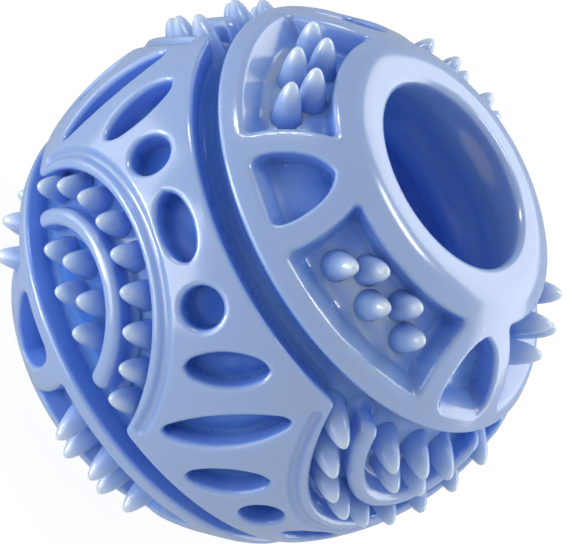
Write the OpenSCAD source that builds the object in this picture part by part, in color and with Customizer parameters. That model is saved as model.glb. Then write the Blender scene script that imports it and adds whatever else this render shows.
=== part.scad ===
// Hollow chew and treat ball: two core halves under two openwork caps and a belt,
// with soft spikes in the recesses and a round mouth at each end of the mouth axis.
// The mouth axis is Z and the ball's centre is the origin.

/* [Ball] */
// Outer radius of the belt
belt_r = 36; // [34:0.5:38]
// Height of the two caps' outside above the belt's
cap_rise = 0.2; // [0:0.1:0.6]
// Depth of the belt's pockets and of every recess, down to the core
recess_depth = 3.6; // [3:0.1:4]
// Thickness of the core's wall
core_wall = 4; // [3:0.1:5]
// Height of the lap joint between the two core halves
lap_h = 3; // [2:0.1:4]

/* [Mouths] */
// Radius of each mouth
mouth_r = 13.6; // [12:0.1:14.4]
// Depth of each flat mouth ring below the caps' outermost radius
face_drop = 4.8; // [4:0.1:5.4]
// Wall of the throat that plugs into the core
throat_wall = 2.4; // [1.5:0.1:3]
// Rounding of the mouth's lip
lip_r = 1; // [0.5:0.1:1.5]

/* [Belt] */
// Angle from the mouth axis to the caps' outer edge
cap_edge_angle = 61.5; // [59:0.5:63]
// Angle from the mouth axis to the belt's edge
belt_edge_angle = 67.2; // [66:0.2:69]
// Chamfer on the edges of belt and caps
edge_chamfer = 0.6; // [0.2:0.1:0.8]
// Angle from the mouth axis to a bite's centre
bite_angle = 64.4; // [63:0.2:66]
// Half the angle that a round bite takes up, seen from the ball's centre
bite_half_angle = 31; // [30:0.1:31.6]

/* [Channel] */
// Gap between a bite's rim and the channel round it
channel_gap = 1.75; // [1.4:0.05:2]
// Width of the engraved channel
channel_w = 1; // [0.6:0.1:1.2]
// Depth of the engraved channel
channel_depth = 0.6; // [0.4:0.1:1.2]
// Half the angle that the channel runs through
channel_angle = 74; // [60:1:78]

/* [Belt pockets] */
// Radius of the round pockets
round_pocket_r = 2.95; // [2:0.05:3.2]
// Length of the oval pockets
oval_l = 10.4; // [8:0.1:11]
// Width of the oval pockets
oval_w = 4.9; // [3:0.1:5]
// Length of the short leaf pockets
short_leaf_l = 11.6; // [9:0.1:12]
// Width of the short leaf pockets
short_leaf_w = 4.8; // [3:0.1:5]
// Length of the long leaf pockets
long_leaf_l = 18.2; // [15:0.1:19]
// Width of the long leaf pockets
long_leaf_w = 4.8; // [3:0.1:5]
// How far a pocket's two sides would run past its blunt ends before they meet
pocket_end = 0.9; // [0.5:0.1:1.2]

/* [Cap windows] */
// Angle from the mouth axis to the windows' outer wall, which is flat
window_foot_angle = 56.5; // [55:0.1:57.5]
// Angle from the mouth axis to the spiked windows' inner edge
window_top_angle = 36.7; // [36.4:0.1:37.4]
// Angle from the mouth axis to the line that the arch windows look along
arch_axis_angle = 48; // [46:0.5:50]
// Half the angle that an arch window's foot takes up, seen from the ball's centre
arch_half_angle = 8.4; // [7.4:0.1:8.8]
// Radius of an arch window's sides
arch_side_r = 18; // [16:0.5:19]
// Angle from the mouth axis to an arch window's head
arch_head_angle = 38.7; // [38.4:0.1:40]
// Radius of an arch window's blunt head
arch_head_r = 7; // [6.6:0.1:8]
// Width of the rib round an arch window
rib_w = 3.6; // [3:0.1:3.8]

/* [Spikes] */
// Radius of a spike at its root
spike_r = 1.95; // [1.6:0.05:2]
// Length of a spike's rounded part
spike_l = 5.2; // [4:0.1:6]
// Height of the belt spikes' tips above the belt
belt_tip_rise = 1.5; // [0.5:0.02:2.4]
// Height of the cap spikes' tips above the belt
cap_tip_rise = 2.2; // [0.5:0.02:2.4]
// Angle from a bite's centre to the tips of its outer row of spikes
outer_row_angle = 25.6; // [25.4:0.1:25.8]
// Turn about a bite's centre from one spike of the outer row to the next
outer_step_angle = 18.9; // [17:0.1:19]
// Angle between the mouth axis and the cap spikes
cap_spike_angle = 41; // [38:1:46]

/* [Arch ridges] */
// Gap between an arch ridge and the row of spikes outside it
ridge_gap = 0.2; // [0.1:0.05:0.6]
// Width of an arch ridge
ridge_w = 2.5; // [1.6:0.05:2.6]
// Half the turn that an arch ridge runs through about its bite's centre
ridge_angle = 77; // [60:1:78]
// Depth of an arch ridge's top below the belt's outside
ridge_drop = 0.2; // [0:0.1:1]

/* [Hidden] */
$fn = 96;

// Outside of the caps and of the core, which is the floor of every recess
cap_r = belt_r + cap_rise;
core_r = belt_r - recess_depth;
// Inside of the core, where the treats lie
chamber_r = core_r - core_wall;
// Height of the flat mouth ring and of the windows' outer wall above the ball's centre
face_z = cap_r - face_drop;
window_foot_z = cap_r * cos(window_foot_angle);
// Outside of the throat, and the hole for it in the core
throat_r = mouth_r + throat_wall;
// Every cut runs past what it cuts by this much
overrun = core_wall / 2;
// Larger than the whole ball
beyond = 2 * belt_r;

// The lap joint of the two core halves lies under the belt, halfway through the wall
lap_r = core_r - core_wall / 2;

// Every quarter turn, the pattern of belt and bites turns over
quarters = 4;
quarter_turn = 360 / quarters;
half_quarter = quarter_turn / 2;

// Distance of a bite's centre from the ball's middle plane, and the bite's radius
bite_z = belt_r * cos(bite_angle);
bite_r = belt_r * sin(bite_half_angle);

// Where the belt spikes' tips lie, and how far the outer row's middle tip is from the bite's
// centre, which leaves room for the arch ridge inside it
belt_tip_r = belt_r + belt_tip_rise;
outer_row_r = bite_z - belt_tip_r * cos(bite_angle + outer_row_angle);
ridge_out_r = outer_row_r - spike_r - ridge_gap;
ridge_r = ridge_out_r - ridge_w / 2;

// The channel's inner wall, measured from the bite's centre, and its floor
channel_in_r = bite_r + channel_gap;
channel_floor_r = belt_r - channel_depth;

// An arch window's foot and head on its own outline, on the cap's outside
arch_foot_x = cap_r * sin(window_foot_angle - arch_axis_angle);
arch_head_x = cap_r * sin(arch_head_angle - arch_axis_angle);
arch_half_w = cap_r * sin(arch_half_angle);

// Belt pockets as [angle from the mouth axis, azimuth from the bite], and each leaf's lean
oval_angles = [75.5, 0];
round_angles = [77.5, 19];
short_leaf_angles = [80.4, 33.4];
short_leaf_lean_angle = 34;
long_leaf_angles = [90, half_quarter];
long_leaf_lean_angle = 27;

// Tips of a cap window's two rows of spikes: each row's angle from the mouth axis, and the
// tips' turns about that axis from the window's middle
low_row_angle = 45.6;
low_row_turn_angles = [-14.9, 0, 14.9];
high_row_angle = 41;
high_row_turn_angles = [-8, 8];
cap_tips = concat(
    [for (turn_angle = low_row_turn_angles) [low_row_angle, turn_angle]],
    [for (turn_angle = high_row_turn_angles) [high_row_angle, turn_angle]]
);

// Tips of a bite's spikes as [angle from the bite's centre, turn about it]: the outer row,
// two pairs inside the arch ridge and one in the middle
outer_spikes_each_side = 4;
wide_pair_angle = 12.4;
wide_turn_angle = 50;
close_pair_angle = 13.7;
close_turn_angle = 19.3;
middle_tip_angle = 7.9;
bite_tips = concat(
    [for (k = [-outer_spikes_each_side : outer_spikes_each_side])
        [outer_row_angle, k * outer_step_angle]],
    [for (side = [-1, 1]) [wide_pair_angle, side * wide_turn_angle]],
    [for (side = [-1, 1]) [close_pair_angle, side * close_turn_angle]],
    [[middle_tip_angle, 0]]
);

// Steps along a spike's profile, and its facets
spike_steps = 7;
spike_facets = 24;
// How far a spike's sides bulge past those of a plain rounded cone
bulge_share = 0.4;
// A spike's straight root reaches this far into the core before it is trimmed there
spike_root = core_wall;

// The point at a distance r from the ball's centre, as seen from the mouth axis
function on_ball(r, polar, az) =
    r * [sin(polar) * cos(az), sin(polar) * sin(az), cos(polar)];

// The point at a distance r from the ball's centre, as seen from a bite's centre
function off_bite(r, angle, turn_angle) =
    r * (cos(angle) * [sin(bite_angle), 0, -cos(bite_angle)]
        + sin(angle) * cos(turn_angle) * [cos(bite_angle), 0, sin(bite_angle)]
        + sin(angle) * sin(turn_angle) * [0, 1, 0]);

// The part of a section between two angles from the mouth axis
module wedge(from_angle, to_angle) {
    middle = (from_angle + to_angle) / 2;
    polygon([
        [0, 0],
        beyond * [sin(from_angle), cos(from_angle)],
        2 * beyond * [sin(middle), cos(middle)],
        beyond * [sin(to_angle), cos(to_angle)]
    ]);
}

// A small diamond laid across an outer edge, which chamfers it
module edge_cut(r, angle) {
    translate(r * [sin(angle), cos(angle)])
        rotate(-angle)
            polygon([[edge_chamfer, 0], [0, edge_chamfer], [-edge_chamfer, 0], [0, -edge_chamfer]]);
}

// Repeats the caps' pattern in each quarter
module each_turn() {
    for (k = [0 : quarters - 1])
        rotate([0, 0, quarter_turn * k]) children();
}

// Repeats the belt's pattern in each quarter, turned over every second time
module each_quarter() {
    for (k = [0 : quarters - 1])
        in_quarter(k) children();
}

// One quarter's place, with the bite below the middle plane in even quarters
module in_quarter(k) {
    rotate([0, 0, quarter_turn * k])
        mirror([0, 0, k % 2])
            children();
}

// Lays a shape that stands along Z onto the ball, outwards along the ball's radius
module outwards(angles, lean_angle = 0) {
    rotate([0, angles[0], angles[1]])
        rotate([0, 0, lean_angle])
            children();
}

// A bite's own frame: Z runs outwards, X points to the ball's middle plane
module at_bite() {
    translate([0, 0, -bite_z])
        rotate([0, 90, 0])
            rotate([0, 0, 180])
                children();
}

// A leaf-shaped pocket along X: two arcs for its sides and blunt round ends
module leaf(l, w) {
    side_l = l + 2 * pocket_end;
    arc_r = (side_l * side_l + w * w) / (4 * w);
    intersection() {
        translate([0, arc_r - w / 2, 0]) cylinder(r = arc_r, h = beyond);
        translate([0, w / 2 - arc_r, 0]) cylinder(r = arc_r, h = beyond);
        cylinder(d = l, h = beyond);
    }
}

// A ring about Z between two radii, open below, over an angle on both sides of X
module ring_part(in_r, out_r, h, half_angle) {
    rotate([0, 0, -half_angle])
        rotate_extrude(angle = 2 * half_angle)
            translate([in_r, 0])
                square([out_r - in_r, h]);
}

// Half of the core's wall in section, above the middle plane
module half_wall_section() {
    difference() {
        circle(core_r);
        circle(chamber_r);
        translate([throat_r - beyond, 0]) square(beyond);
        translate([-beyond, -beyond]) square([2 * beyond, beyond]);
    }
}

// The tongue in section that the lower half pushes up inside the upper half's rim
module lap_section() {
    difference() {
        square([lap_r, lap_h]);
        circle(chamber_r);
    }
}

// Section of a cap: the mouth ring, the sloping skirt and the throat
module cap_section() {
    difference() {
        union() {
            intersection() {
                difference() {
                    circle(cap_r);
                    circle(core_r);
                }
                wedge(0, cap_edge_angle);
            }
            translate([mouth_r, 0]) square([throat_wall, core_r]);
        }
        circle(chamber_r);
        translate([0, face_z]) square(beyond);
        translate([mouth_r - beyond, -beyond]) square([beyond, 2 * beyond]);
        edge_cut(cap_r, cap_edge_angle);
        difference() {
            translate([mouth_r - lip_r, face_z - lip_r]) square(2 * lip_r);
            translate([mouth_r + lip_r, face_z - lip_r]) circle(lip_r);
            translate([mouth_r + lip_r, face_z - lip_r]) square(2 * lip_r);
        }
    }
}

// The blunt cone of one spike, its tip at height zero and its root in the core
module spike() {
    root_z = -spike_l - spike_root;
    rotate_extrude($fn = spike_facets)
        polygon(concat(
            [for (k = [0 : spike_steps]) let (depth = pow(k / spike_steps, 2))
                [spike_r * sqrt(depth * (1 + bulge_share * (1 - depth))), -spike_l * depth]],
            [[spike_r, root_z], [0, root_z]]
        ));
}

module core_upper_half() {
    color("lightsteelblue") rotate_extrude() difference() {
        half_wall_section();
        lap_section();
    }
}

module core_lower_half() {
    color("lightsteelblue") rotate_extrude() {
        mirror([0, 1]) half_wall_section();
        lap_section();
    }
}

// The band in section that the spiked windows are cut from
module window_band_section() {
    polygon([
        window_foot_z * [tan(window_top_angle), 1],
        [beyond, window_foot_z],
        [beyond, beyond / tan(window_top_angle)]
    ]);
}

// The arch's two sides as arcs about centres on its foot, grown outwards by a margin
module arch_sides(margin = 0) {
    intersection_for(side = [-1, 1])
        translate([arch_foot_x, side * (arch_side_r - arch_half_w)])
            circle(arch_side_r + margin);
}

// An arch window's outline, its sides closed by a blunt round head
module arch_outline() {
    intersection() {
        arch_sides();
        translate([arch_head_x + arch_head_r, 0]) circle(arch_head_r);
    }
}

// Runs an outline through the cap's wall, along the line that the arch windows look along
module through_cap() {
    rotate([0, arch_axis_angle, 0])
        translate([0, 0, core_r - overrun])
            linear_extrude(belt_r)
                children();
}

// Turns a revolved shape so that it starts in the rib beside an arch window
module seam_on_a_rib() {
    rotate([0, 0, asin((arch_half_w + rib_w / 2) / (cap_r * sin(arch_axis_angle)))]) children();
}

module cap() {
    color("lightblue") difference() {
        seam_on_a_rib() rotate_extrude() cap_section();
        difference() {
            seam_on_a_rib() rotate_extrude() window_band_section();
            each_turn() through_cap() arch_sides(rib_w);
        }
        each_turn() intersection() {
            through_cap() arch_outline();
            translate([0, 0, window_foot_z]) cylinder(r = beyond, h = beyond);
        }
    }
}

module upper_cap() {
    cap();
}

module lower_cap() {
    mirror([0, 0, 1]) cap();
}

module belt() {
    color("lightblue") difference() {
        rotate_extrude() difference() {
            intersection() {
                difference() {
                    circle(belt_r);
                    circle(core_r);
                }
                wedge(belt_edge_angle, 180 - belt_edge_angle);
            }
            edge_cut(belt_r, belt_edge_angle);
            edge_cut(belt_r, 180 - belt_edge_angle);
        }
        each_quarter() {
            at_bite() cylinder(r = bite_r, h = beyond);
            at_bite() difference() {
                ring_part(channel_in_r, channel_in_r + channel_w, beyond, channel_angle);
                translate([-bite_z, 0, 0]) sphere(channel_floor_r);
            }
            outwards(oval_angles, quarter_turn) leaf(oval_l, oval_w);
            for (side = [-1, 1]) {
                outwards([round_angles[0], side * round_angles[1]])
                    cylinder(r = round_pocket_r, h = beyond);
                outwards([short_leaf_angles[0], side * short_leaf_angles[1]],
                         -side * short_leaf_lean_angle)
                    leaf(short_leaf_l, short_leaf_w);
            }
            outwards(long_leaf_angles, -long_leaf_lean_angle)
                leaf(long_leaf_l, long_leaf_w);
        }
    }
}

module arch_ridge(k) {
    color("lightblue") in_quarter(k) difference() {
        intersection() {
            at_bite() union() {
                ring_part(ridge_out_r - ridge_w, ridge_out_r, beyond, ridge_angle);
                for (side = [-1, 1])
                    rotate([0, 0, side * ridge_angle])
                        translate([ridge_r, 0, 0])
                            cylinder(d = ridge_w, h = beyond);
            }
            sphere(belt_r - ridge_drop);
        }
        sphere(core_r);
    }
}

module bite_spikes(k) {
    color("aliceblue") in_quarter(k) difference() {
        for (p = bite_tips)
            translate(off_bite(belt_tip_r, p[0], p[1]))
                rotate([0, quarter_turn, 0])
                    spike();
        sphere(core_r);
    }
}

module window_spikes(k) {
    tip_r = belt_r + cap_tip_rise;
    color("aliceblue") rotate([0, 0, quarter_turn * k + half_quarter]) difference() {
        for (p = cap_tips)
            translate(on_ball(tip_r, p[0], p[1]))
                rotate([0, cap_spike_angle, 0])
                    spike();
        sphere(core_r);
    }
}

core_upper_half();
core_lower_half();
upper_cap();
lower_cap();
belt();
for (k = [0 : quarters - 1]) {
    arch_ridge(k);
    bite_spikes(k);
    window_spikes(k);
    mirror([0, 0, 1]) window_spikes(k);
}
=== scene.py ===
"""Looks of a hollow chew and treat ball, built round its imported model.

Every visible piece is a mesh grown from a distance field in the ball's own frame: the mouth
axis is Z and the ball's centre is the origin. Lengths are millimetres until a mesh is made.
"""

import math
from collections import namedtuple

import bpy
import numpy as np
from mathutils import Matrix, Vector


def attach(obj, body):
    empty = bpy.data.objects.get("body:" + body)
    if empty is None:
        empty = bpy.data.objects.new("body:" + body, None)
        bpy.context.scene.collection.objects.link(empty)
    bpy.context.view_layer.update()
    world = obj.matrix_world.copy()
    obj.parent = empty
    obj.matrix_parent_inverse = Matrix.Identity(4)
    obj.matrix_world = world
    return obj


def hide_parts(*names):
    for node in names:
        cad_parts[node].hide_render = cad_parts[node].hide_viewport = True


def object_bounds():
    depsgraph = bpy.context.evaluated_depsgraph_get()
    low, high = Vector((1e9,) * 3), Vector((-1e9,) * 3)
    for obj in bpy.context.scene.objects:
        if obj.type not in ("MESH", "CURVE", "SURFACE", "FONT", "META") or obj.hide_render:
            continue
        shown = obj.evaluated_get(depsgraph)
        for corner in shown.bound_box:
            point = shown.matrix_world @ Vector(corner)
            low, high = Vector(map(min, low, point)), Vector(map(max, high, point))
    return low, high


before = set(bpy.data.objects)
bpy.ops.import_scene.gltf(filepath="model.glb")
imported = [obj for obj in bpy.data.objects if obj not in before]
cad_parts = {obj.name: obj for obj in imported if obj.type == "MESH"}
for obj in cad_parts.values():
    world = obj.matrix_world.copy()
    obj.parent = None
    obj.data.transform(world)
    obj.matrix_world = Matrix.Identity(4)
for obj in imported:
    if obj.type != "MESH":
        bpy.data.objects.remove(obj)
cad_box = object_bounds()

MM = 0.001

# The ball's main sizes, as the model has them
BELT_R = 36.0
CAP_R = 36.2
CORE_R = 32.4
CHAMBER_R = 28.4
MOUTH_R = 13.6
THROAT_R = 16.0
FACE_Z = 31.4
CAP_EDGE = math.radians(61.5)
BELT_EDGE = math.radians(67.2)
QUARTERS = 4

# A bite's centre lies below the middle plane, and its rim is round about that centre
BITE_AXIS = math.radians(64.4)
BITE_Z = BELT_R * math.cos(BITE_AXIS)
BITE_ANGLE = math.radians(31)
BITE_R = BELT_R * math.sin(BITE_ANGLE)

# The channel is a round groove about the bite's own axis
CHANNEL_OFF = math.radians(33.85)
CHANNEL_ANGLE = math.radians(84)
CHANNEL_TUBE = 0.85
CHANNEL_ABOVE = 0.35

# Belt pockets as angle from the mouth axis and azimuth from the bite's middle, in degrees
OVAL_AT = (75.5, 0)
OVAL_LEAN = 90
ROUND_AT = (77.5, 19)
SHORT_LEAF_AT = (80.4, 33.4)
SHORT_LEAF_LEAN = 34
LONG_LEAF_AT = (90, 45)
LONG_LEAF_LEAN = 27
ROUND_POCKET_R = 2.95
OVAL_SIZE = (10.4, 4.9)
SHORT_LEAF_SIZE = (11.6, 4.8)
LONG_LEAF_SIZE = (18.2, 4.8)
POCKET_END = 0.9

# Cap windows
WINDOW_FOOT = math.radians(56.5)
WINDOW_FOOT_Z = CAP_R * math.cos(WINDOW_FOOT)
WINDOW_TOP = math.radians(36.7)
ARCH_AXIS = math.radians(48)
ARCH_HALF_ANGLE = math.radians(8.4)
ARCH_HALF_W = CAP_R * math.sin(ARCH_HALF_ANGLE)
ARCH_SIDE_R = 18.0
ARCH_FOOT_X = CAP_R * math.sin(WINDOW_FOOT - ARCH_AXIS)
ARCH_HEAD = math.radians(38.7)
ARCH_HEAD_X = CAP_R * math.sin(ARCH_HEAD - ARCH_AXIS)
ARCH_HEAD_R = 7.0
RIB_W = 3.6

# Spikes: a bite's tips by their angle from its centre and their turn about it, and a cap
# window's by their angle from the mouth axis and their turn about that, in degrees. A bite's
# spikes all stand along its own X, and a spike's rings crowd towards its tip by a power
SPIKE_R = 1.95
SPIKE_L = 5.2
SPIKE_BULGE = 0.4
SPIKE_FLARE = 0.35
RING_POWER = 1.6
BITE_SPIKE_AXIS = (1.0, 0.0, 0.0)
BELT_TIP_R = BELT_R + 1.5
CAP_TIP_R = BELT_R + 2.2
CAP_SPIKE_TILT = math.radians(41)
OUTER_ROW = 25.6
BITE_TIPS = [(OUTER_ROW, 18.9 * k) for k in range(-4, 5)]
BITE_TIPS += [(12.4, -50), (12.4, 50), (13.7, -19.3), (13.7, 19.3), (7.9, 0)]
CAP_TIPS = [(45.6, -14.9), (45.6, 0), (45.6, 14.9), (41, -8), (41, 8)]

# An arch ridge runs just inside the outer row of spikes
RIDGE_HALF_W = 1.25
RIDGE_GAP = 0.2
RIDGE_BELOW = 0.2
OUTER_ROW_Z = BELT_TIP_R * math.cos(BITE_AXIS + math.radians(OUTER_ROW))
RIDGE_R = BITE_Z - OUTER_ROW_Z - SPIKE_R - RIDGE_GAP - RIDGE_HALF_W
RIDGE_TOP_R = BELT_R - RIDGE_BELOW
RIDGE_ANGLE = math.radians(77)

# Roundings of edges and of the corners where walls meet a floor
EDGE_ROUND = 0.7
RIM_ROUND = 1.2
CHANNEL_ROUND = 0.5
POCKET_ROUND = 0.9
LEAF_END_ROUND = 1.1
RIDGE_ROUND = 1.1
ARCH_HEAD_ROUND = 2.4
ARCH_FOOT_ROUND = 1.2
WINDOW_CORNER_ROUND = 0.9
CREASE_ROUND = 0.8
LIP_ROUND = 1.2
THROAT_ROUND = 6.0
FLOOR_ROUND = 0.7
# A piece covers the floor beside its walls, first a little proud of it and then, over the
# skirt's width, sinking under it, and reaches this deep into the core
SKIRT = 1.2
SKIRT_RISE = 0.012
SKIRT_SINK = 0.03
SKIRT_DEPTH = 2.5
POCKET_FLOOR = 2.3
WINDOW_FLOOR = 5.5
FLOOR_FADE = 2.0
THROAT_SEAM = 1.5
THROAT_SINK = 0.04

# The cells that meshes are grown in, and how many of them a block has along each edge
CELL = 0.42
CORE_CELL = 1.0
RIDGE_CELL = 0.36
BLOCK = 6

# The boxes in which the pieces are grown, by their low and high corners
REACH = BELT_R + 1
CORE_BOX = ((-REACH, -REACH, -1), (REACH, REACH, REACH))
CAP_BOX = ((-REACH, -REACH, 10), (REACH, REACH, REACH))
BELT_BOX = ((-REACH, -REACH, -20), (REACH, REACH, 20))
RIDGE_BOX = ((20, -16, -20), (REACH, 16, 0))

# A step onto the surface assumes a field's squared slope is no less than this
LEAST_SLOPE = 0.25

# The parts of a skirt that lie inside the core get large faces, and a cell's key counts its
# places along X, Y and Z in steps that are larger than any count
HIDDEN_R = CORE_R - 0.9
HIDDEN_RHO = THROAT_R + 2.2
HIDDEN_CELL = 1.5
KEY_STEP = 1000

# The walls round a point are felt for along its normal and in a ring of tilted directions,
# each at two distances. The ring is laid out from a direction that hardly any normal has
FEELERS = 6
FEEL_TILT = math.radians(55)
FEEL_AT = (2.0, 5.0)
FEEL_WIDTH = 0.35
FEEL_FROM = (0.3, 0.2, 0.93)


def length(*parts):
    return np.sqrt(sum(part * part for part in parts))


def both(a, b, r):
    """Where two fields overlap, with the edge between them rounded off."""
    return np.minimum(-r, np.maximum(a, b)) + length(
        np.maximum(r + a, 0), np.maximum(r + b, 0)
    )


def either(a, b, r):
    """Two fields joined, with a fillet in the corner between them."""
    return np.maximum(r, np.minimum(a, b)) - length(
        np.maximum(r - a, 0), np.maximum(r - b, 0)
    )


def fold(p, turn_over):
    """Points brought into the half quarter beside +X, whose pattern all others repeat.

    With turn_over, every second quarter has the pattern upside down."""
    quarter = np.round(np.arctan2(p[:, 1], p[:, 0]) / (2 * math.pi / QUARTERS))
    angle = quarter * 2 * math.pi / QUARTERS
    x = p[:, 0] * np.cos(angle) + p[:, 1] * np.sin(angle)
    y = np.abs(p[:, 1] * np.cos(angle) - p[:, 0] * np.sin(angle))
    odd = (quarter.astype(int) % 2 != 0) & turn_over
    return x, y, np.where(odd, -p[:, 2], p[:, 2])


def channel_tube(x, y, z):
    """Distance from a round tube that lies along a circle about the bite's axis."""
    up = x * math.cos(BITE_AXIS) + z * math.sin(BITE_AXIS)
    out = x * math.sin(BITE_AXIS) - z * math.cos(BITE_AXIS)
    angle = np.minimum(np.arctan2(y, up), CHANNEL_ANGLE)
    big_r = BELT_R + CHANNEL_ABOVE
    r = big_r * math.sin(CHANNEL_OFF)
    return CHANNEL_TUBE - length(
        up - r * np.cos(angle), y - r * np.sin(angle), out - big_r * math.cos(CHANNEL_OFF)
    )


def pocket_plane(x, y, z, place, lean=0):
    """Coordinates along and across a pocket that leans from the mouth axis."""
    polar, azimuth, lean = (math.radians(a) for a in (*place, lean))
    u = (x * math.cos(azimuth) + y * math.sin(azimuth)) * math.cos(polar) - z * math.sin(polar)
    v = y * math.cos(azimuth) - x * math.sin(azimuth)
    return u * math.cos(lean) + v * math.sin(lean), v * math.cos(lean) - u * math.sin(lean)


def leaf(u, v, size):
    """Two arcs for the sides, closed by a blunt round end at each tip."""
    long, wide = size
    side_l = long + 2 * POCKET_END
    r = (side_l * side_l + wide * wide) / (4 * wide)
    shift = r - wide / 2
    sides = np.maximum(length(u, v - shift), length(u, v + shift)) - r
    return both(sides, length(u, v) - long / 2, LEAF_END_ROUND)


def belt_solid(p):
    x, y, z = fold(p, True)
    big_r = length(x, y, z)
    rho = length(x, y)
    edge = np.abs(z) * math.sin(BELT_EDGE) - rho * math.cos(BELT_EDGE)
    solid = both(big_r - BELT_R, edge, EDGE_ROUND)
    solid = both(solid, BITE_R - length(y, z + BITE_Z), RIM_ROUND)
    solid = both(solid, channel_tube(x, y, z), CHANNEL_ROUND)
    pockets = (
        -leaf(*pocket_plane(x, y, z, OVAL_AT, OVAL_LEAN), OVAL_SIZE),
        ROUND_POCKET_R - length(*pocket_plane(x, y, z, ROUND_AT)),
        -leaf(*pocket_plane(x, y, z, SHORT_LEAF_AT, -SHORT_LEAF_LEAN), SHORT_LEAF_SIZE),
        -leaf(*pocket_plane(x, y, z, LONG_LEAF_AT, -LONG_LEAF_LEAN), LONG_LEAF_SIZE),
    )
    for pocket in pockets:
        solid = both(solid, pocket, POCKET_ROUND)
    return solid


def ridge_solid(x, y, z):
    up = z + BITE_Z
    angle = np.clip(np.arctan2(y, up), -RIDGE_ANGLE, RIDGE_ANGLE)
    across = length(y - RIDGE_R * np.sin(angle), up - RIDGE_R * np.cos(angle))
    return both(across - RIDGE_HALF_W, length(x, y, z) - RIDGE_TOP_R, RIDGE_ROUND)


def cavity(p):
    """The treat chamber and both mouths, blended into each other."""
    rho = length(p[:, 0], p[:, 1])
    return either(rho - MOUTH_R, length(rho, p[:, 2]) - CHAMBER_R, THROAT_ROUND)


def cap_solid(p):
    x, y, z = fold(p, False)
    rho = length(x, y)
    solid = both(length(rho, z) - CAP_R, z - FACE_Z, CREASE_ROUND)
    solid = both(solid, rho * math.cos(CAP_EDGE) - z * math.sin(CAP_EDGE), EDGE_ROUND)
    solid = both(solid, -cavity(p), LIP_ROUND)
    u = x * math.cos(ARCH_AXIS) - z * math.sin(ARCH_AXIS)
    sides = length(u - ARCH_FOOT_X, y + ARCH_SIDE_R - ARCH_HALF_W) - ARCH_SIDE_R
    head = length(u - ARCH_HEAD_X - ARCH_HEAD_R, y) - ARCH_HEAD_R
    foot = WINDOW_FOOT_Z - z
    arch = both(both(sides, head, ARCH_HEAD_ROUND), foot, ARCH_FOOT_ROUND)
    solid = both(solid, -arch, EDGE_ROUND)
    top = z * math.sin(WINDOW_TOP) - rho * math.cos(WINDOW_TOP)
    spiked = both(RIB_W - sides, top, WINDOW_CORNER_ROUND)
    spiked = both(spiked, foot, WINDOW_CORNER_ROUND)
    return both(solid, -spiked, EDGE_ROUND)


def ease(share):
    """A smooth step from 0 to 1."""
    share = np.clip(share, 0, 1)
    return share * share * (3 - 2 * share)


def on_core(p, solid, cover=0):
    """A solid with a fillet onto the core and a skirt that sinks under the core's surface.

    cover is how wide a band of the floor beside its walls the solid covers before that."""
    above = length(p[:, 0], p[:, 1], p[:, 2]) - CORE_R
    past = solid - FLOOR_ROUND - cover
    rise = SKIRT_RISE - (SKIRT_RISE + SKIRT_SINK) * ease(past / SKIRT)
    joined = either(solid, above, FLOOR_ROUND) - rise
    return np.maximum.reduce([joined, -above - SKIRT_DEPTH, past - SKIRT])


def belt_field(p):
    """The belt, with the whole floor of each pocket."""
    rho = length(p[:, 0], p[:, 1])
    within = rho * math.cos(BELT_EDGE) - np.abs(p[:, 2]) * math.sin(BELT_EDGE)
    return on_core(p, belt_solid(p), POCKET_FLOOR * ease(within / FLOOR_FADE))


def ridge_field(p):
    return on_core(p, ridge_solid(p[:, 0], p[:, 1], p[:, 2]))


def cap_field(p):
    """A cap, with the whole floor of each window and the wall of the mouth."""
    rho = length(p[:, 0], p[:, 1])
    within = p[:, 2] * math.sin(CAP_EDGE) - rho * math.cos(CAP_EDGE)
    solid = cap_solid(p)
    field = on_core(p, solid, WINDOW_FLOOR * ease(within / FLOOR_FADE))
    field = np.minimum(field, np.maximum(rho - THROAT_R - THROAT_SEAM, solid))
    sink = THROAT_SINK * ease((rho - THROAT_R) / THROAT_SEAM + 0.5)
    return np.maximum(field, sink - cavity(p))


def core_field(p):
    """The core's upper half, which sinks behind the mouth's wall at its end."""
    rho = length(p[:, 0], p[:, 1])
    sink = THROAT_SINK * ease((THROAT_R - rho) / THROAT_SEAM + 0.5)
    shell = np.maximum(length(rho, p[:, 2]) - CORE_R, sink - cavity(p))
    return np.maximum.reduce([shell, THROAT_R - THROAT_SEAM - rho, -p[:, 2]])


def whole_field(p):
    """Distance to the nearest wall of the ball, spikes left aside."""
    upright = np.stack([p[:, 0], p[:, 1], np.abs(p[:, 2])], 1)
    core = np.maximum(length(*p.T) - CORE_R, -cavity(p))
    return np.minimum.reduce([core, belt_solid(p), cap_solid(upright), ridge_solid(*fold(p, True))])


def gradient(field, p, step=0.02):
    found = np.empty_like(p)
    for axis in range(3):
        off = np.zeros(3)
        off[axis] = step
        found[:, axis] = (field(p + off) - field(p - off)) / (2 * step)
    return found


def settle(field, p, cell, rounds=3):
    """Moves points onto the field's surface."""
    for _ in range(rounds):
        g = gradient(field, p)
        step = -field(p) / np.maximum((g * g).sum(1), LEAST_SLOPE)
        p = p + np.clip(step, -cell, cell)[:, None] * g
    return p


Surface = namedtuple("Surface", "points faces normals")


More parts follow.
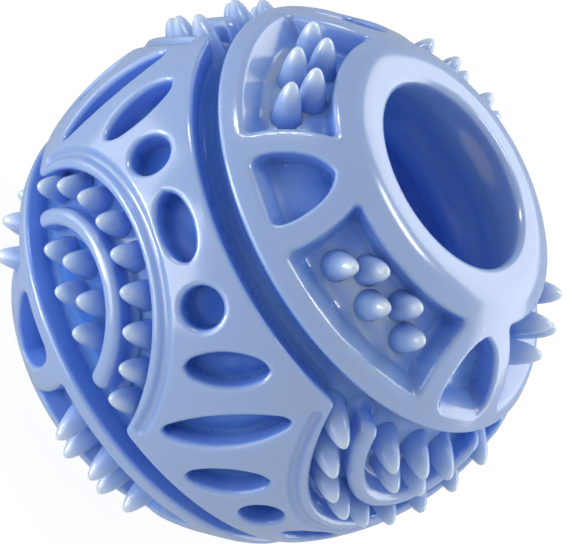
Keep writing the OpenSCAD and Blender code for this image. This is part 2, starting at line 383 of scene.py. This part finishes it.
def thin(surface):
    """Merges the points that lie inside the core, where only a closed surface is needed."""
    points, faces, normals = surface
    hidden = np.linalg.norm(points, axis=1) < HIDDEN_R
    hidden &= length(points[:, 0], points[:, 1]) > HIDDEN_RHO
    place = np.floor(points / HIDDEN_CELL).astype(int)
    place = place @ (1, KEY_STEP, KEY_STEP**2)
    place -= place.min()
    _, merged = np.unique(
        np.where(hidden, place, -1 - np.arange(len(points))), return_inverse=True
    )
    count = np.bincount(merged)
    points, normals = (
        np.stack([np.bincount(merged, part) / count for part in values.T], 1)
        for values in (points, normals)
    )
    kept = []
    for face in merged[np.array(faces)].tolist():
        ring = [v for i, v in enumerate(face) if v != face[i - 1]]
        if len(ring) > 2 and len(set(ring)) == len(ring):
            kept.append(ring)
    return Surface(points, kept, normals / np.linalg.norm(normals, axis=1)[:, None])


def grow(field, low, high, cell, relax=2):
    """A closed mesh of a field's surface, with outward normals.

    low and high are the corners of a box round it, and relax evens out its points."""
    low = np.asarray(low, float) - cell
    blocks = np.ceil((np.asarray(high, float) + cell - low) / (cell * BLOCK)).astype(int)
    index = np.indices(blocks).reshape(3, -1).T
    middle = low + (index + 0.5) * BLOCK * cell
    index = index[np.abs(field(middle)) < BLOCK * cell]
    corner = np.indices((BLOCK + 1,) * 3).reshape(3, -1).T
    start = index * BLOCK
    p = low + (start[:, None] + corner[None]) * cell
    value = field(p.reshape(-1, 3)).reshape(-1, *(BLOCK + 1,) * 3)
    inside = value < 0
    quads = []
    here = inside[:, :BLOCK, :BLOCK, :BLOCK]
    for axis in range(3):
        window = [slice(0, BLOCK)] * 3
        window[axis] = slice(1, BLOCK + 1)
        there = inside[(slice(None), *window)]
        block, *at = np.nonzero(here != there)
        first = start[block] + np.stack(at, 1)
        u, v = (axis + 1) % 3, (axis + 2) % 3
        ring = np.repeat(first[:, None], 4, 1)
        ring[:, 1:3, u] -= 1
        ring[:, 2:4, v] -= 1
        outward = here[(block, *at)]
        ring[~outward] = ring[~outward][:, ::-1]
        quads.append(ring)
    quads = np.concatenate(quads)
    span = blocks * BLOCK + 2
    keys = ((quads[..., 0] + 1) * span[1] + quads[..., 1] + 1) * span[2] + quads[..., 2] + 1
    used, faces = np.unique(keys, return_inverse=True)
    faces = faces.reshape(-1, 4)
    cells = np.stack(
        [used // (span[1] * span[2]), used // span[2] % span[1], used % span[2]], 1
    ) - 1
    p = settle(field, low + (cells + 0.5) * cell, cell)
    for _ in range(relax):
        total = np.zeros_like(p)
        count = np.zeros(len(p))
        for k in range(4):
            for near in (faces[:, k - 1], faces[:, (k + 1) % 4]):
                for axis in range(3):
                    total[:, axis] += np.bincount(faces[:, k], p[near, axis], len(p))
                count += np.bincount(faces[:, k], minlength=len(p))
        p = settle(field, (p + total / count[:, None]) / 2, cell)
    normals = gradient(field, p)
    return Surface(p, faces.tolist(), normals / np.linalg.norm(normals, axis=1)[:, None])


def shelter(surface):
    """How closely walls stand round each point, from 0 in the open; the rubber paints shade by it.
    """
    p, _, normals = surface
    side = np.cross(normals, FEEL_FROM)
    side /= np.linalg.norm(side, axis=1)[:, None]
    other = np.cross(normals, side)
    ways = [normals]
    for k in range(FEELERS):
        a = 2 * math.pi * k / FEELERS
        flat = math.cos(a) * side + math.sin(a) * other
        ways.append(math.cos(FEEL_TILT) * normals + math.sin(FEEL_TILT) * flat)
    free = 0
    for way in ways:
        room = [whole_field(p + far * way) / (FEEL_WIDTH * far) for far in FEEL_AT]
        free = free + np.clip(np.minimum.reduce(room), 0, 1)
    return 1 - free / len(ways)


def turn(k):
    """The turn about the mouth axis that brings the first quarter to quarter k."""
    a = 2 * math.pi * k / QUARTERS
    return np.array(
        [[math.cos(a), -math.sin(a), 0], [math.sin(a), math.cos(a), 0], [0, 0, 1]]
    )


FLIP = np.diag([1.0, 1.0, -1.0])


def quarter_place(k):
    """Quarter k's place: odd quarters have their bite above the middle plane."""
    return turn(k) @ (FLIP if k % 2 else np.eye(3))


def add_object(name, data):
    thing = bpy.data.objects.new(name, data)
    bpy.context.scene.collection.objects.link(thing)
    return thing


def stand(thing, at, axes):
    """Places an object with its own X, Y and Z along the given axes."""
    thing.location = at
    thing.rotation_mode = "QUATERNION"
    thing.rotation_quaternion = Matrix(axes).transposed().to_quaternion()


def make(name, points, faces, depth, material, node, slot, matrix):
    """A piece that stands for a node of the model, rides on the body and has its finish."""
    if np.linalg.det(matrix) < 0:
        faces = [face[::-1] for face in faces]
    mesh = bpy.data.meshes.new(name)
    mesh.from_pydata((points @ matrix.T * MM).tolist(), [], faces)
    mesh.shade_smooth()
    mesh.materials.append(material)
    # The shelter share, by which the rubber paints shade into recesses and towards the spikes'
    # roots
    mesh.attributes.new("shelter", "FLOAT", "POINT").data.foreach_set("value", depth)
    piece = add_object(name, mesh)
    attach(piece, "root")
    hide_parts(node)
    return piece


def make_grown(name, surface, depth, material, node, slot, matrix=np.eye(3)):
    """A grown surface as a piece, shaded by the normals of its field."""
    points, faces, normals = surface
    piece = make(name, points, faces, depth, material, node, slot, matrix)
    piece.data.normals_split_custom_set_from_vertices((normals @ matrix.T).tolist())


def spike(tip, axis, rings=15, sides=24):
    """A blunt cone with a flared root, from its tip down into the core.

    Its axis lies in the XZ plane."""
    across = np.cross(axis, (0.0, 1.0, 0.0))
    other = np.cross(axis, across)
    angle = np.arange(sides) * 2 * math.pi / sides
    out = np.cos(angle)[:, None] * across + np.sin(angle)[:, None] * other
    root = tip + SPIKE_R * out
    along = root @ axis
    sunk = CORE_R - SKIRT_DEPTH
    deep = along - np.sqrt(along**2 - (root * root).sum(1) + sunk**2)
    share = np.linspace(0, 1, rings + 1)[1:] ** RING_POWER
    depth = share[:, None] * deep[None]
    t = np.clip(depth / SPIKE_L, 0, 1)
    body = SPIKE_R * np.sqrt(t * (1 + SPIKE_BULGE * (1 - t)))
    p = tip - depth[..., None] * axis + body[..., None] * out
    height = np.clip(np.linalg.norm(p, axis=2) - CORE_R, 0, SPIKE_FLARE)
    flare = SPIKE_FLARE - np.sqrt(SPIKE_FLARE**2 - (SPIKE_FLARE - height) ** 2)
    p = p + flare[..., None] * out
    p = np.concatenate([tip[None], p.reshape(-1, 3)])
    faces = [[0, 1 + j, 1 + (j + 1) % sides] for j in range(sides)]
    for k in range(rings - 1):
        for j in range(sides):
            a, b = 1 + k * sides + j, 1 + k * sides + (j + 1) % sides
            faces.append([a, a + sides, b + sides, b])
    last = 1 + (rings - 1) * sides
    faces.append([last + j for j in range(sides)][::-1])
    return p, faces


def spikes(places):
    """A group of spikes as one surface, with each point's share of the way to the core, by which
    shade is painted towards the roots.
    """
    points, faces = [], []
    for tip, axis in places:
        count = sum(len(p) for p in points)
        p, near = spike(np.array(tip), np.array(axis))
        points.append(p)
        faces += [[i + count for i in face] for face in near]
    points = np.concatenate(points)
    height = np.linalg.norm(points, axis=1) - CORE_R
    return points, faces, 1 - np.clip(height / (CAP_TIP_R - CORE_R), 0, 1)


def bite_spikes():
    """One bite's spikes, which all stand along X."""
    c, s = math.cos(BITE_AXIS), math.sin(BITE_AXIS)
    places = []
    for off, around in BITE_TIPS:
        a, b = math.radians(off), math.radians(around)
        out, up, side = math.cos(a), math.sin(a) * math.cos(b), math.sin(a) * math.sin(b)
        tip = (out * s + up * c, side, up * s - out * c)
        places.append(([BELT_TIP_R * part for part in tip], BITE_SPIKE_AXIS))
    return spikes(places)


def window_spikes():
    """One cap window's spikes, with the window's middle turned to +X."""
    axis = (math.sin(CAP_SPIKE_TILT), 0.0, math.cos(CAP_SPIKE_TILT))
    places = []
    for polar, azimuth in CAP_TIPS:
        t, a = math.radians(polar), math.radians(azimuth)
        tip = (math.sin(t) * math.cos(a), math.sin(t) * math.sin(a), math.cos(t))
        places.append(([CAP_TIP_R * part for part in tip], axis))
    return spikes(places)


class Nodes:
    """Short calls for building the nodes of a material or of the world."""

    def __init__(self, owner):
        owner.use_nodes = True
        self.owner = owner
        self.tree = owner.node_tree

    def add(self, kind, **settings):
        node = self.tree.nodes.new(kind)
        for key, value in settings.items():
            setattr(node, key, value)
        return node

    def link(self, source, target):
        self.tree.links.new(source, target)

    def mix(self, share, first, second):
        """A shader between two others."""
        node = self.add("ShaderNodeMixShader")
        for socket, source in zip(node.inputs, (share, first, second)):
            self.link(source, socket)
        return node.outputs[0]

    def math(self, operation, a, b=None):
        node = self.add("ShaderNodeMath", operation=operation)
        for socket, value in zip(node.inputs, (a, b)):
            if value is None:
                continue
            if isinstance(value, (int, float)):
                socket.default_value = value
            else:
                self.link(value, socket)
        return node.outputs[0]

    def noise(self, place, scale, detail):
        node = self.add("ShaderNodeTexNoise")
        node.inputs["Scale"].default_value = scale
        node.inputs["Detail"].default_value = detail
        self.link(place, node.inputs["Vector"])
        return node.outputs["Fac"]

    def spread(self, value, low, high, start=0.0, stop=1.0):
        """A value that runs from low to high while the given one runs from start to stop."""
        node = self.add("ShaderNodeMapRange")
        node.inputs["From Min"].default_value = start
        node.inputs["From Max"].default_value = stop
        node.inputs["To Min"].default_value = low
        node.inputs["To Max"].default_value = high
        self.link(value, node.inputs["Value"])
        return node.outputs["Result"]


# The rubber's colours, from the open into a closed corner, where painted shade makes the blue
# darker and more saturated, and how they drift along it
TIP_BLUE = (0.64, 0.74, 0.89)
OPEN_BLUE = (0.34, 0.48, 0.78)
RECESS_SHADE_BLUE = (0.17, 0.33, 0.77)
CORNER_SHADE_BLUE = (0.05, 0.17, 0.6)
WALL_SHADE_STOPS = [(0.0, OPEN_BLUE), (0.5, RECESS_SHADE_BLUE), (0.9, CORNER_SHADE_BLUE)]
# Painted shade on the spikes: pale at the tip, darker and more saturated towards the root
SPIKE_SHADE_STOPS = [(0.0, TIP_BLUE), (0.5, OPEN_BLUE), (1.0, RECESS_SHADE_BLUE)]
DRIFT_SCALE = 160
DRIFT_SHARE = 0.12

# Dust and the skin's grain, with scales in cells per metre
DUST_BLUE = (0.8, 0.86, 0.94)
DUST_SCALE = 420
DUST_SHARE = 0.4
DUST_HEIGHT = 0.35
CLOUD_SCALE = 230
CLOUD_LEVEL = 0.56
SWELL_SCALE = 210
GRAIN_SCALE = 1400
GRAIN_SHARE = 0.25
BUMP_SHARE = 0.3
BUMP_HEIGHT = 0.05 * MM

# Gloss, sheen with its painted shade in recesses, and how deep light goes into the rubber
ROUGHNESS = (0.12, 0.22)
OPEN_SHEEN = 1.0
SHADED_SHEEN = 0.08
CLOSED_AT = 0.65
RUBBER_IOR = 1.75
SCATTER_SHARE = 0.8
SCATTER_RADIUS = (0.45, 0.65, 1.0)
SCATTER_DEPTH = 2.0 * MM


def rubber(name, stops):
    """Glossy translucent rubber that is paler in the open, with painted shade: a darker, more
    saturated blue in recesses.

    stops gives the colour at shares of the way from the open into a closed corner."""
    n = Nodes(bpy.data.materials.new(name))
    inputs = n.tree.nodes["Principled BSDF"].inputs
    place = n.add("ShaderNodeTexCoord").outputs["Object"]
    near = n.add("ShaderNodeAttribute", attribute_name="shelter").outputs["Fac"]
    drift = n.math("SUBTRACT", n.noise(place, DRIFT_SCALE, 4), 0.5)
    drift = n.math("MULTIPLY", drift, DRIFT_SHARE)
    # Painted shade: by the shelter attribute the colour runs from the open blue to darker, more
    # saturated blues in recesses and corners
    ramp = n.add("ShaderNodeValToRGB")
    ramp.color_ramp.interpolation = "EASE"
    elements = ramp.color_ramp.elements
    for _ in stops[2:]:
        elements.new(1)
    for element, (at, colour) in zip(elements, stops):
        element.position = at
        element.color = (*colour, 1)
    n.link(n.math("ADD", near, drift), ramp.inputs["Fac"])

    # Dust: sparse pale specks on the surface
    dust = n.add("ShaderNodeTexVoronoi", feature="F1")
    dust.inputs["Scale"].default_value = DUST_SCALE
    n.link(place, dust.inputs["Vector"])
    cloud = n.math("SUBTRACT", n.noise(place, CLOUD_SCALE, 2), CLOUD_LEVEL)
    speck = n.math("LESS_THAN", dust.outputs["Distance"], n.math("MULTIPLY", cloud, 0.5))
    mix = n.add("ShaderNodeMix", data_type="RGBA")
    n.link(n.math("MULTIPLY", speck, DUST_SHARE), mix.inputs["Factor"])
    n.link(ramp.outputs["Color"], mix.inputs["A"])
    mix.inputs["B"].default_value = (*DUST_BLUE, 1)
    n.link(mix.outputs["Result"], inputs["Base Color"])

    # A moulded skin: slightly uneven gloss and a very fine grain
    swell = n.noise(place, SWELL_SCALE, 2)
    grain = n.math("MULTIPLY", n.noise(place, GRAIN_SCALE, 3), GRAIN_SHARE)
    dusty = n.math("ADD", swell, n.math("MULTIPLY", speck, DUST_HEIGHT))
    bump = n.add("ShaderNodeBump")
    bump.inputs["Strength"].default_value = BUMP_SHARE
    bump.inputs["Distance"].default_value = BUMP_HEIGHT
    n.link(n.math("ADD", grain, dusty), bump.inputs["Height"])
    n.link(bump.outputs["Normal"], inputs["Normal"])
    n.link(n.spread(swell, *ROUGHNESS), inputs["Roughness"])

    # Painted shade of the reflections: the sheen is turned down in recesses by the shelter
    # attribute
    sheen = n.spread(near, OPEN_SHEEN, SHADED_SHEEN, stop=CLOSED_AT)
    n.link(sheen, inputs["Specular IOR Level"])
    inputs["IOR"].default_value = RUBBER_IOR
    inputs["Subsurface Weight"].default_value = SCATTER_SHARE
    inputs["Subsurface Radius"].default_value = SCATTER_RADIUS
    inputs["Subsurface Scale"].default_value = SCATTER_DEPTH
    return n.owner


# The camera: a long lens, rolled as in the photograph, where the ball's centre and radius are
# in pixels, and the picture's axes before the camera's turn about the mouth axis
PHOTO_W, PHOTO_H = 580, 544
BALL_AT = (278.45, 274.69)
BALL_R_PX = 268.1
CAMERA_TURN = math.radians(21.084)
CAMERA_FAR = 2.615
CAMERA_CLIP = (0.05, 20)
SENSOR = 36.0
RIGHT = Vector((-0.4408, 0.4981, 0.7467))
UP = Vector((-0.2532, -0.8671, 0.4290))
BACK = Vector((0.8612, 0.0, 0.5083))


def make_camera():
    """A camera whose frame shows the ball where the photograph does."""
    turned = Matrix.Rotation(CAMERA_TURN, 3, "Z")
    right, up, back = turned @ RIGHT, turned @ UP, turned @ BACK
    px_per_m = BALL_R_PX / (BELT_R * MM)
    data = bpy.data.cameras.new("camera")
    data.sensor_width = SENSOR
    data.lens = SENSOR * px_per_m * CAMERA_FAR / PHOTO_W
    data.clip_start, data.clip_end = CAMERA_CLIP
    aside = (PHOTO_W / 2 - BALL_AT[0]) / px_per_m
    above = (BALL_AT[1] - PHOTO_H / 2) / px_per_m
    camera = add_object("camera", data)
    stand(camera, back * CAMERA_FAR + right * aside + up * above, (right, up, back))
    bpy.context.scene.camera = camera
    return right, up, back


# Soft boxes: where each stands, as shares of the picture's right, up and towards the camera,
# its width and height and its distance in metres, and how bright its face is
SOFT_BOXES = {
    "left_key": ((-0.95, 0.2, 0.2), (0.14, 0.24), 0.6, 9),
    "left_box": ((-0.79, 0.08, 0.55), (0.6, 0.7), 0.8, 1.75),
    "upper_box": ((-0.78, 0.55, 0.0), (0.7, 0.45), 0.8, 1.1),
    "right_key": ((0.87, 0.42, 0.22), (0.08, 0.2), 0.6, 8),
    "right_box": ((0.83, 0.1, -0.38), (0.5, 1.3), 0.8, 1.55),
    "top_key": ((0.0, 0.93, 0.36), (0.24, 0.08), 0.6, 8),
}


def soft_box(name, view, shares, size, far, radiance):
    """A soft box that looks at the ball, upright in the picture."""
    data = bpy.data.lights.new(name, "AREA")
    data.shape = "RECTANGLE"
    data.size, data.size_y = size
    data.energy = radiance * math.pi * size[0] * size[1]
    right, up, back = view
    z = (shares[0] * right + shares[1] * up + shares[2] * back).normalized()
    x = up.cross(z).normalized()
    stand(add_object(name, data), z * far, (x, z.cross(x), z))


# The light in the chamber
GLOW_BLUE = (0.23, 0.6, 1.0)
GLOW_WATTS = 0.003
GLOW_R = 0.012


def chamber_glow():
    """The faint light that the translucent walls let into the treat chamber."""
    data = bpy.data.lights.new("chamber_glow", "POINT")
    data.color = GLOW_BLUE
    data.energy = GLOW_WATTS
    data.shadow_soft_size = GLOW_R
    lamp = add_object("chamber_glow", data)
    lamp.visible_camera = False
    lamp.visible_glossy = False


# The surroundings: their bright side, as shares of the picture's right, up and towards the
# camera, the cosines to it between which they brighten, and their strength at both of these
BRIGHT_SIDE = (0.75, -0.65, 0.1)
BRIGHT_COSINES = (-0.6, 0.8)
BRIGHTNESS = (0.36, 0.68)
SKY_WHITE = (0.97, 0.985, 1.0)


def make_world(view):
    """Pale surroundings, brighter on one side, and plain white to look at."""
    world = bpy.data.worlds.new("surroundings")
    bpy.context.scene.world = world
    n = Nodes(world)
    around = n.tree.nodes["Background"]
    facing = n.add("ShaderNodeVectorMath", operation="DOT_PRODUCT")
    side = sum((share * axis for share, axis in zip(BRIGHT_SIDE, view)), Vector())
    facing.inputs[1].default_value = side.normalized()
    n.link(n.add("ShaderNodeTexCoord").outputs["Generated"], facing.inputs[0])
    level = n.spread(facing.outputs["Value"], *BRIGHTNESS, *BRIGHT_COSINES)
    n.link(level, around.inputs["Strength"])
    around.inputs["Color"].default_value = (*SKY_WHITE, 1)
    seen = n.add("ShaderNodeBackground")
    seen.inputs["Strength"].default_value = 1.0
    seen.inputs["Color"].default_value = (1, 1, 1, 1)
    camera_ray = n.add("ShaderNodeLightPath").outputs["Is Camera Ray"]
    surface = n.mix(camera_ray, around.outputs[0], seen.outputs[0])
    n.link(surface, n.tree.nodes["World Output"].inputs["Surface"])


# The paper that the ball lies on, just below its mouth's face
PAPER_HALF = 2.0
PAPER_BELOW = 0.02 * MM
PAPER_WHITE = (0.9, 0.9, 0.9)
PAPER_ROUGHNESS = 0.9
PAPER_GLOW = 1.08
PAPER_GLOW_SHARE = 0.85


def make_floor():
    """A pale floor that shows as white and still takes the ball's shadow.

    It doesn't block the soft boxes that stand lower than it, and is clear from below."""
    half, z = PAPER_HALF, cad_box[0].z - PAPER_BELOW
    mesh = bpy.data.meshes.new("floor")
    corners = [(-half, -half, z), (half, -half, z), (half, half, z), (-half, half, z)]
    mesh.from_pydata(corners, [], [(0, 1, 2, 3)])
    n = Nodes(bpy.data.materials.new("floor_paper"))
    paper = n.tree.nodes["Principled BSDF"]
    paper.inputs["Base Color"].default_value = (*PAPER_WHITE, 1)
    paper.inputs["Roughness"].default_value = PAPER_ROUGHNESS
    glow = n.add("ShaderNodeEmission")
    glow.inputs["Strength"].default_value = PAPER_GLOW
    path = n.add("ShaderNodeLightPath")
    seen = n.math("MAXIMUM", path.outputs["Is Glossy Ray"], path.outputs["Is Transmission Ray"])
    seen = n.math("MAXIMUM", path.outputs["Is Camera Ray"], seen)
    share = n.math("MULTIPLY", seen, PAPER_GLOW_SHARE)
    above = n.mix(share, paper.outputs[0], glow.outputs[0])
    below = n.add("ShaderNodeBsdfTransparent").outputs[0]
    behind = n.add("ShaderNodeNewGeometry").outputs["Backfacing"]
    n.link(n.mix(behind, above, below), n.tree.nodes["Material Output"].inputs["Surface"])
    mesh.materials.append(n.owner)
    floor = add_object("floor", mesh)
    floor.visible_shadow = False
    floor.visible_diffuse = False
    floor.visible_glossy = False


shell_rubber = rubber("shell_rubber", WALL_SHADE_STOPS)
core_rubber = rubber("core_rubber", WALL_SHADE_STOPS)
spike_rubber = rubber("spike_rubber", SPIKE_SHADE_STOPS)

# The core, whose lower half mirrors the upper
core = grow(core_field, *CORE_BOX, CORE_CELL, relax=1)
core_shade = shelter(core)
make_grown("core_upper_half_skin", core, core_shade, core_rubber, "core_upper_half", "core")
make_grown("core_lower_half_skin", core, core_shade, core_rubber, "core_lower_half", "core", FLIP)

# The caps, of which the lower one mirrors the upper
cap = thin(grow(cap_field, *CAP_BOX, CELL))
cap_shade = shelter(cap)
make_grown("upper_cap_skin", cap, cap_shade, shell_rubber, "upper_cap", "shell")
make_grown("lower_cap_skin", cap, cap_shade, shell_rubber, "lower_cap", "shell", FLIP)

# The belt
belt = thin(grow(belt_field, *BELT_BOX, CELL))
make_grown("belt_skin", belt, shelter(belt), shell_rubber, "belt", "shell")

# The ridge and the spikes of each bite, and the spikes of the cap windows
ridge = thin(grow(ridge_field, *RIDGE_BOX, RIDGE_CELL))
ridge_shade = shelter(ridge)
for k in range(QUARTERS):
    node = f"arch_ridge_{k + 1}"
    matrix = quarter_place(k)
    make_grown(node + "_skin", ridge, ridge_shade, shell_rubber, node, "shell", matrix)
    node = f"bite_spikes_{k + 1}"
    make(node + "_skin", *bite_spikes(), spike_rubber, node, "spikes", matrix)
    between = turn(k + 0.5)
    for side, matrix in (("upper", between), ("lower", FLIP @ between)):
        node = f"{side}_window_spikes_{k + 1}"
        make(node + "_skin", *window_spikes(), spike_rubber, node, "spikes", matrix)

# The light and the view
view = make_camera()
make_world(view)
make_floor()
for name, settings in SOFT_BOXES.items():
    soft_box(name, view, *settings)
chamber_glow()

bpy.context.scene.view_settings.view_transform = "Standard"
